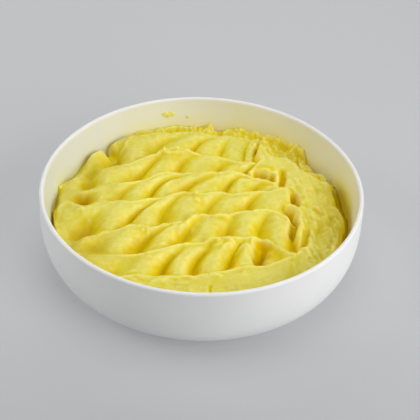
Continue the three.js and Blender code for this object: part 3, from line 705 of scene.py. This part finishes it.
def bowl_section():
    """Half of the bowl's section, from the middle of its base over the rim to its floor."""
    section = [(0.0, 0.0)]
    section += [wall_point(i / WALL_STEPS * LIP_FROM) for i in range(WALL_STEPS + 1)]
    for i in range(LIP_STEPS + 1):
        a = i / LIP_STEPS * math.pi
        section.append((RIM_RADIUS - WALL / 2 + math.cos(a) * WALL / 2,
                        BOWL_HEIGHT - WALL / 2 + math.sin(a) * WALL / 2))
    for i in range(WALL_STEPS + 1):
        t = (WALL_STEPS - i) / WALL_STEPS * LIP_FROM
        section.append(wall_inset(t, thickness(t)))
    section.append((0.0, WALL + FLOOR_SWELL))
    return section


def make_bowl(material):
    """Turns the bowl's section round its axis."""
    bm = bmesh.new()
    verts = [bm.verts.new((r * MM, 0, z * MM)) for r, z in bowl_section()]
    edges = [bm.edges.new(pair) for pair in zip(verts[:-1], verts[1:])]
    bmesh.ops.spin(bm, geom=verts + edges, cent=(0, 0, 0), axis=(0, 0, 1),
                   angle=2 * math.pi, steps=TURN_STEPS, use_merge=True)
    bmesh.ops.remove_doubles(bm, verts=bm.verts, dist=1e-6)
    bmesh.ops.recalc_face_normals(bm, faces=bm.faces)
    tint_bowl(add_mesh("serving_bowl", bm, material, "bowl"))


def tint_bowl(mesh):
    """Paints on the bowl what the butter has left there, with painted shade and painted yellow bounce
    light.
    """
    x, y, z = points_of(mesh).T / MM
    # A film tints the wall next to the mash, strongest where the mash has drawn back: partly a real
    # film of butter, partly painted shade and painted yellow bounce light in the gap.
    level = edge_level(x, y)
    open_edge = ease(1, 4, inner_radius(level) - edge_radius(x, y))
    inside = np.hypot(x, y) < inner_radius(z) + 1
    level = level - 8 * open_edge
    film_and_shade = inside * np.exp(-np.maximum(z - level, 0) / (7 + 3 * open_edge)) * (0.55 + 0.45 * open_edge)
    paint(mesh, "film_and_shade", film_and_shade)
    # The rest of the inside and the rim carry a faint uneven wash, partly butter and partly painted
    # yellow bounce light, with painted shade that greys the left side.
    bearing = bearing_of(x, y) % 360
    tinted = ease(-0.3, 0.6, inner_radius(z) - np.hypot(x, y) + 1.5) * ease(53.6, 51.5, z)
    shade = np.ones((len(x), 4))
    for channel in range(3):
        shade[:, channel] = 1 + tinted * (read_line(bearing, WASH_AND_SHADE, channel + 1) - 1)
    # Painted shade: at the right the wall behind the drawn-back mash is painted darker and yellower.
    gap_shade = tinted * np.exp(-((bearing - GAP_SHADE_BEARING) / GAP_SHADE_REACH) ** 2)
    gap_shade *= np.exp(-(np.maximum(z - GAP_SHADE_HEIGHT, 0) / GAP_SHADE_FADE) ** 2)
    shade[:, :3] *= 1 - gap_shade[:, None] * np.array(GAP_SHADE)
    mesh.attributes.new("wash_and_shade", "FLOAT_COLOR", "POINT").data.foreach_set("color", shade.ravel())


# ---------------------------------------------------------------- mash
# Where the side of the mash meets the wall: bearing, height.
FOOT_LINE = [(-180, 20), (-30, 18), (-5, 22), (1, 24.8), (6.4, 22), (10.8, 22.2), (14.5, 24.2),
             (17.2, 25.1), (19.4, 26.7), (21.1, 27.5), (24, 24), (28, 19), (45, 20), (128, 20),
             (135, 16), (137, 13), (139, 16), (142, 20), (180, 20)]
# Cells across the top of the mash, steps down its side, and the rings of its underside as
# (height, largest radius).
CELLS = 295
SIDE_STEPS = 6
UNDER_RINGS = [(9.0, 95), (6.0, 88), (4.7, 50), (4.1, 2)]

# Torn curls left standing on the crests: x, y, direction in degrees, length, width, height.
CURLS = [(-31, 56, 30, 4.5, 1.5, 2.3), (-27, 52.5, 150, 3, 1.1, 1.3), (-21, 60, -25, 4.5, 1.5, 2.4),
         (-15, 63, -25, 6, 1.2, 1.9), (-9, 59.5, 5, 5, 1.0, 1.2), (-12, -29, 40, 5, 1.2, 1.5),
         (-8, -24, 50, 6, 1.1, 1.9), (-3, -18.5, 35, 6, 1.2, 1.8), (-5, -27, 55, 5, 1.0, 1.2),
         (8, -44.5, 10, 5, 1.2, 1.6), (15, -42.5, -5, 7, 1.3, 2.0), (21, -44.5, -20, 5, 1.1, 1.6),
         (18, -48, 15, 5, 1.0, 1.3), (10, -49, 160, 4, 1.0, 1.2), (28, -46, 30, 4, 1.0, 1.5),
         (34, -43, 100, 3, 1.1, 1.9), (14, -16.5, 5, 6, 1.2, 1.2), (-27, -81, 15, 6, 1.2, 1.1),
         (-18, -78.5, 10, 6, 1.2, 1.2), (-8, -77, 0, 6, 1.2, 1.1), (10, -75, 10, 6, 1.3, 1.2),
         (4, 31, 10, 5, 1.0, 1.0)]

# Clusters of small beads: x, y, reach, count.
BEADS = [(-41, -32, 3, 9), (-35, -34, 2.5, 7), (17, 35, 2.5, 8), (-5, 5, 3, 7), (-2, 1, 2.5, 6),
         (-29, 55, 2.5, 8), (-20, 60, 3, 6), (12, -46, 3, 6), (-20, 99, 5, 10), (6, 100, 5, 8),
         (25, 97, 6, 8), (62, 84, 6, 8)]

# Painted shade: places where the mash is painted darker and deeper in colour: x, y, reach in x, reach
# in y, strength.
PAINTED_SHADE_SPOTS = [(-76, -55, 18, 13, 1.0), (-66, 60, 8, 9, 0.1), (-86, 8, 7, 18, 0.3), (-63, 36, 8, 8, 0.5),
        (-64, 8, 12, 8, 0.35), (-83, 2, 7, 4, 0.6), (-81, -29, 8, 7, 0.5), (87, 4, 10, 24, 0.65),
        (86, -32, 12, 22, 0.65), (66, 66, 14, 14, 0.4), (51, 82, 12, 8, 0.35),
        (99, -8, 7, 22, 0.15)]

# Places that lie in the shade of the mash round them: x, y, reach in x, reach in y, strength.
SHADED = [(38.8, 62, 2.2, 7, 0.4), (58.5, -8.5, 4.5, 4.5, 0.3), (-38.5, -40, 5, 6, 0.4),
          (-65.5, 62, 5, 6, 0.15), (-80, 43, 4.5, 6, 0.15), (-81.5, 24, 5, 6, 0.35),
          (-83, 2.5, 6, 3.5, 0.35), (-81, -29, 7, 6, 0.22), (44, 38.5, 6.5, 2.6, 0.6)]
# A pit deeper than this gets little light on its floor.
DARK_PIT = 4
# How the shade is worked out: half width and step of its grid, the number of directions looked
# into, the distances looked at in steps, and the one that tells what stands out.
SHADE_REACH = 108.0
SHADE_STEP = 0.75
SHADE_TURNS = 12
SHADE_DISTANCES = (1, 2, 3, 5, 7, 10, 14, 19)
RING_DISTANCE = 3
# Small random curls on each row.
SMALL_CURLS = 8


def fine_relief(x, y):
    """Small unevenness of the mash, rougher along the fold and the far rim."""
    rough = ease(8, -2, bank_distance(x, y)) * ease(56, 72, x)
    rough = np.maximum(rough, ease(86, 95, y) * 0.9)
    front = ease(-76, -84, y + 0.16 * x) * ease(78, 60, x)
    swell = speckle(x, y, *SWELL) - 0.5
    lumps = speckle(x, y, *LUMPS) - 0.5
    grain = speckle(x, y, *GRAIN) - 0.5
    z = 0.7 * swell + (0.45 + 0.15 * rough) * lumps + (0.25 + 0.2 * rough) * grain
    # Streaks left by the spoon run with the sweep.
    along = speckle(x / 4 + y / 9, y - x * 0.35, *STREAKS) - 0.5
    down = speckle(x + y * 0.25, y / 4 - x / 9, *DRAGS) - 0.5
    torn = speckle(x * 0.9 + y * 0.45, (y * 0.9 - x * 0.45) / 3.5, *TEARS) - 0.5
    z += 0.3 * along + rough * (0.7 * down + 1.0 * torn)
    # A ragged band of small lumps runs along the far edge.
    z += ease(85, 91, y) * (1.2 * lumps + 0.6 * grain)
    # The ground behind the fold is rougher.
    behind = ease(0, 6, bank_distance(x, y)) * ease(24, 44, x) * ease(44, 60, y)
    z += behind * (1.6 * lumps + 1.3 * grain + 1.0 * torn)
    # The front band has fine upright scratches on the right and torn ripples on the left.
    upright = speckle(x + y * 0.12, y / 14, *SCRATCHES) - 0.5
    ripple = speckle(x / 3.5, y + 0.1 * x, *RIPPLES) - 0.5
    z += front * (1.3 * upright * ease(8, 26, x) + 1.2 * ripple * ease(14, -4, x))
    return z + curls(x, y)


def curls(x, y):
    """Thin torn curls and beads on the crests: the placed ones, then many small random ones."""
    rng = np.random.default_rng(CURL_SEED)
    marks = list(CURLS)
    for k in range(1, len(ROWS)):
        for _ in range(SMALL_CURLS):
            at = rng.uniform(-85, 60)
            marks.append((at, float(crest_line(k, np.array(at))) + rng.uniform(-4, 0.5),
                          rng.normal(18, 30), rng.uniform(1.5, 4.5), rng.uniform(0.7, 1.2),
                          rng.uniform(0.3, 0.8)))
    height = np.zeros_like(x)
    for cx, cy, turn, long, wide, tall in marks:
        near = np.nonzero((np.abs(x - cx) < long + 3) & (np.abs(y - cy) < long + 3))[0]
        c, s = math.cos(math.radians(turn)), math.sin(math.radians(turn))
        dx, dy = x[near] - cx, y[near] - cy
        along, across = dx * c + dy * s, dy * c - dx * s
        across = across + 0.35 * along ** 2 / long
        across = np.where(across > 0, across / (0.7 * wide), across / (3.2 * wide))
        height[near] += tall * np.exp(-(along / long) ** 4 - np.abs(across) ** 1.6)
    for cx, cy, reach, count in BEADS:
        for _ in range(count):
            bx, by = rng.normal(cx, reach / 2), rng.normal(cy, reach / 2.4)
            size = rng.uniform(0.55, 1.0)
            near = np.nonzero((np.abs(x - bx) < 2.5) & (np.abs(y - by) < 2.5))[0]
            d = np.hypot(x[near] - bx, y[near] - by) / size
            height[near] += size * 0.9 * np.sqrt(np.maximum(1 - (d / 1.2) ** 2, 0))
    return height


def shelter(x, y):
    """How far each point is shut in by the mash around it, and how far it stands out from it: the
    painted shade and the painted highlight of the mash.
    """
    side = int(2 * SHADE_REACH / SHADE_STEP) + 1
    line = np.linspace(-SHADE_REACH, SHADE_REACH, side)
    gx, gy = np.meshgrid(line, line, indexing="ij")
    pull = np.minimum(1, (WALL_RADIUS - 1.5) / np.maximum(np.hypot(gx, gy), 1))
    height = mash_height(gx * pull, gy * pull)
    height += fine_relief((gx * pull).ravel(), (gy * pull).ravel()).reshape(height.shape)
    shut = np.zeros_like(height)
    ring = np.zeros_like(height)
    for turn in range(SHADE_TURNS):
        angle = 2 * math.pi * (turn + 0.5) / SHADE_TURNS
        highest = np.zeros_like(height)
        for away in SHADE_DISTANCES:
            i, j = round(away * math.cos(angle)), round(away * math.sin(angle))
            there = np.roll(height, (-i, -j), (0, 1))
            highest = np.maximum(highest, (there - height) / (math.hypot(i, j) * SHADE_STEP))
            if away == RING_DISTANCE:
                ring += there / SHADE_TURNS
        shut += highest ** 2 / (1 + highest ** 2)
    shut /= SHADE_TURNS
    # Painted shade on the floors of the deep pits and in the shaded places.
    for points, start, end, half in PITS:
        if max(start, end) > DARK_PIT:
            d, t = stroke(*steadier(gx, gy - 1.5), points)
            depth = (start + (end - start) * t) * ease(39.8, 36.8, height)
            shut = np.maximum(shut, 0.075 * depth * np.exp(-(d / (1.8 * half)) ** 4))
    for place in SHADED:
        shut = np.maximum(shut, spot(gx, gy, place))
    # Painted highlight: how far a point stands above the ring of mash round it.
    out = np.clip((height - ring) / 0.8, 0, 1)
    u = np.clip((x + SHADE_REACH) / SHADE_STEP, 0, side - 1.001)
    v = np.clip((y + SHADE_REACH) / SHADE_STEP, 0, side - 1.001)
    i, j = u.astype(int), v.astype(int)
    f, g = u - i, v - j
    return [(t[i, j] * (1 - f) + t[i + 1, j] * f) * (1 - g)
            + (t[i, j + 1] * (1 - f) + t[i + 1, j + 1] * f) * g for t in (shut, out)]


def mash_cells():
    """A square of cells with the rings for its side and underside, and the points of each ring."""
    bm = bmesh.new()
    bmesh.ops.create_grid(bm, x_segments=CELLS, y_segments=CELLS, size=1)
    rings = []
    edges = [e for e in bm.edges if e.is_boundary]
    for _ in range(SIDE_STEPS + len(UNDER_RINGS)):
        out = bmesh.ops.extrude_edge_only(bm, edges=edges)
        edges = [g for g in out["geom"] if isinstance(g, bmesh.types.BMEdge) and g.is_boundary]
        bm.verts.index_update()
        rings.append(np.array([g.index for g in out["geom"] if isinstance(g, bmesh.types.BMVert)]))
    bmesh.ops.contextual_create(bm, geom=edges)
    bmesh.ops.recalc_face_normals(bm, faces=bm.faces)
    return bm, rings


def lay_side(x, y, z, hollow, rings):
    """Lays the side from the edge of the mash down to the wall, and the underside on the bowl."""
    edge = rings[0]
    top, rim = z[edge], np.hypot(x[edge], y[edge])
    cx, cy = x[edge] / rim, y[edge] / rim
    foot = np.minimum(read_line(bearing_of(cx, cy), FOOT_LINE, 1), top - 2)
    # Where the edge is free of the wall, the side falls almost straight at first.
    free = ease(0.5, 2.2, inner_radius(top) - rim)
    for step, points in enumerate(rings):
        if step < SIDE_STEPS:
            part = (step + 1) / SIDE_STEPS
            height = top + (foot - top) * (1 - (1 - part) ** (1 + free))
            wall = inner_radius(height)
            lean = rim + (inner_radius(foot) - rim) * part ** 2.5
            lean = np.minimum(lean + 1.2 * math.sin(math.pi * part), wall)
            far = wall + (lean - wall) * free
        else:
            level, reach = UNDER_RINGS[step - SIDE_STEPS]
            height = np.full(top.shape, level)
            far = np.minimum(inner_radius(level), reach)
        x[points], y[points], z[points] = cx * far, cy * far, height
        # Painted shade: the side of the mash is marked as shut in, more where its edge is free of the
        # wall.
        hollow[points] = np.maximum(hollow[points], 0.2 + 0.8 * min(1, (step + 1) / 3) * free)


def make_mash(material):
    """Draws a square of fine cells out to a disc and raises it to the swept surface."""
    bm, rings = mash_cells()
    mesh = add_mesh("swept_mash", bm, material, "mash")
    u, v, _ = points_of(mesh).T
    x, y = u * np.sqrt(1 - v * v / 2), v * np.sqrt(1 - u * u / 2)
    # Only the outer part of the disc follows the drawn-back edge.
    size = WALL_RADIUS + (edge_radius(x, y) - WALL_RADIUS) * ease(0.6, 1, np.hypot(x, y))
    x, y = x * size, y * size
    z = mash_height(x, y) + fine_relief(x, y)
    # Painted shade where the mash is shut in, and painted highlight where it stands out.
    hollow, painted_crest_highlight = shelter(x, y)
    lay_side(x, y, z, hollow, rings)
    mesh.vertices.foreach_set("co", (np.stack([x, y, z], -1) * MM).ravel())
    mesh.update()
    paint(mesh, "hollow", hollow)
    paint(mesh, "painted_crest_highlight", painted_crest_highlight)
    # Painted shade near the wall and in the wider hollows, uneven in blotches.
    deep = sum(spot(x, y, place) for place in PAINTED_SHADE_SPOTS)
    deep *= 0.7 + 0.6 * speckle(x, y, *BLOTCHES)
    paint(mesh, "deep", np.minimum(deep, 1))


# Smears flicked onto the wall: their gap to it, and for each its bearing, height, reach along the
# wall, reach up it, and thickness.
SMEAR_GAP = 0.02
SMEARS = [(105.7, 42.9, 4.3, 2.6, 0.8), (103.7, 42.3, 2.6, 1.7, 0.6), (107.6, 43.6, 1.5, 0.9, 0.3),
          (97.3, 39.5, 1.7, 1.2, 0.4), (96.5, 38.6, 0.8, 0.7, 0.2)]


def make_smear(index, material):
    """A flat dab of mash lying against the inside of the bowl."""
    bearing, height, reach, rise, thick = SMEARS[index]
    bm = bmesh.new()
    bmesh.ops.create_uvsphere(bm, u_segments=40, v_segments=24, radius=1)
    for vert in bm.verts:
        a, b, c = vert.co
        turn = math.atan2(b, a)
        ragged = 1 + 0.12 * math.sin(3 * turn + index) + 0.06 * math.sin(7 * turn + 2 * index)
        z = height + b * rise * ragged
        out = SMEAR_GAP + thick * max(c, 0) * (0.8 + 0.2 * math.sin(5 * a + index) * math.sin(4 * b))
        r = float(inner_radius(z)) - out
        angle = math.radians(bearing) + a * reach * ragged / r
        vert.co = (r * math.cos(angle) * MM, r * math.sin(angle) * MM, z * MM)
    bmesh.ops.recalc_face_normals(bm, faces=bm.faces)
    if bm.calc_volume(signed=True) < 0:
        bmesh.ops.reverse_faces(bm, faces=bm.faces)
    add_mesh("wall_smear_%d" % (index + 1), bm, material)


# ---------------------------------------------------------------- stage
# Soft lights round the table: name, place in metres, power in watts.
LIGHTS = [("window", (0.85, -0.75, 0.6), 7.5), ("right wall", (1.1, 0.0, 0.55), 4.2),
          ("left wall", (-1.1, 0.1, 0.6), 5.7), ("far wall", (0.0, 1.1, 0.6), 2.5),
          ("ceiling", (0.0, 0.1, 1.2), 3.6)]
LIGHT_SIZE = 0.8
LIGHT_AIM = Vector((0, 0, 0.03))
ROOM_COLOUR = (0.98, 0.99, 1.0, 1)
ROOM_GLOW = 0.224
FLOOR_HALF = 3
# The camera: its distance from the middle of the rim in rim radii, the angle at which it stands
# above it, its turns in degrees, its focal length and the frame's width in pixels, and the width
# of its sensor in millimetres.
CAMERA_DISTANCE = 6.107
CAMERA_HEIGHT_ANGLE = 37.25
CAMERA_PITCH = 38.80
CAMERA_YAW = 0.65
CAMERA_ROLL = 2.37
FOCAL_PIXELS = 985
FRAME_PIXELS = 420
SENSOR_WIDTH = 36


def make_stage(cloudy):
    """The plain floor under the bowl, which is not part of it."""
    material, nodes, links, skin = new_material("pale floor")
    cloud = place_group(nodes, cloudy, Scale=3,
                        First=(0.355, 0.36, 0.37, 1), Second=(0.375, 0.38, 0.39, 1))
    links.new(cloud, skin.inputs["Base Color"])
    # Painted light: a faint glow of its own, weaker toward the front, keeps the shadow on the floor
    # soft.
    place = nodes.new("ShaderNodeTexCoord")
    axes = nodes.new("ShaderNodeSeparateXYZ")
    glow = nodes.new("ShaderNodeMapRange")
    glow.inputs["From Min"].default_value = -0.17
    glow.inputs["From Max"].default_value = -0.08
    glow.inputs["To Min"].default_value = 0.11
    glow.inputs["To Max"].default_value = 0.18
    links.new(place.outputs["Object"], axes.inputs["Vector"])
    links.new(axes.outputs["Y"], glow.inputs["Value"])
    links.new(glow.outputs["Result"], skin.inputs["Emission Strength"])
    skin.inputs["Emission Color"].default_value = (0.98, 0.985, 1.0, 1)
    skin.inputs["Roughness"].default_value = 0.7
    bm = bmesh.new()
    bmesh.ops.create_grid(bm, x_segments=4, y_segments=4, size=FLOOR_HALF)
    mesh = bpy.data.meshes.new("floor")
    bm.to_mesh(mesh)
    bm.free()
    mesh.materials.append(material)
    floor = bpy.data.objects.new("floor", mesh)
    bpy.context.scene.collection.objects.link(floor)


def make_light(name, place, power):
    lamp = bpy.data.lights.new(name, "AREA")
    lamp.shape = "RECTANGLE"
    lamp.size = LIGHT_SIZE
    lamp.size_y = LIGHT_SIZE
    lamp.energy = power
    light = bpy.data.objects.new(name, lamp)
    light.location = place
    light.rotation_euler = (LIGHT_AIM - Vector(place)).to_track_quat("-Z", "Y").to_euler()
    bpy.context.scene.collection.objects.link(light)


def make_camera():
    distance = CAMERA_DISTANCE * RIM_RADIUS * MM
    height_angle = math.radians(CAMERA_HEIGHT_ANGLE)
    pitch = math.radians(CAMERA_PITCH)
    yaw = math.radians(CAMERA_YAW)
    roll = math.radians(CAMERA_ROLL)
    ahead = Vector((math.sin(yaw) * math.cos(pitch), math.cos(yaw) * math.cos(pitch),
                    -math.sin(pitch)))
    right = ahead.cross(Vector((0, 0, 1))).normalized()
    up = right.cross(ahead)
    across = right * math.cos(roll) + up * math.sin(roll)
    above = up * math.cos(roll) - right * math.sin(roll)
    data = bpy.data.cameras.new("camera")
    data.sensor_width = SENSOR_WIDTH
    data.lens = SENSOR_WIDTH * FOCAL_PIXELS / FRAME_PIXELS
    camera = bpy.data.objects.new("camera", data)
    turn = Matrix((across, above, -ahead)).transposed().to_4x4()
    stand = Vector((0, -distance * math.cos(height_angle),
                    distance * math.sin(height_angle) + BOWL_HEIGHT * MM))
    camera.matrix_world = Matrix.Translation(stand) @ turn
    bpy.context.scene.collection.objects.link(camera)
    bpy.context.scene.camera = camera


def light_scene():
    scene = bpy.context.scene
    world = bpy.data.worlds.new("soft room")
    scene.world = world
    world.use_nodes = True
    back = world.node_tree.nodes["Background"]
    back.inputs["Color"].default_value = ROOM_COLOUR
    back.inputs["Strength"].default_value = ROOM_GLOW
    for name, place, power in LIGHTS:
        make_light(name, place, power)
    scene.view_settings.view_transform = "Standard"


cloudy_colour = make_cloudy_colour()
fine_grain = make_fine_grain()
make_camera()
make_stage(cloudy_colour)
light_scene()
make_bowl(make_glaze_material(cloudy_colour, fine_grain))
make_mash(make_mash_material(cloudy_colour, fine_grain))
smear_material = make_smear_material(cloudy_colour)
for number in range(len(SMEARS)):
    make_smear(number, smear_material)
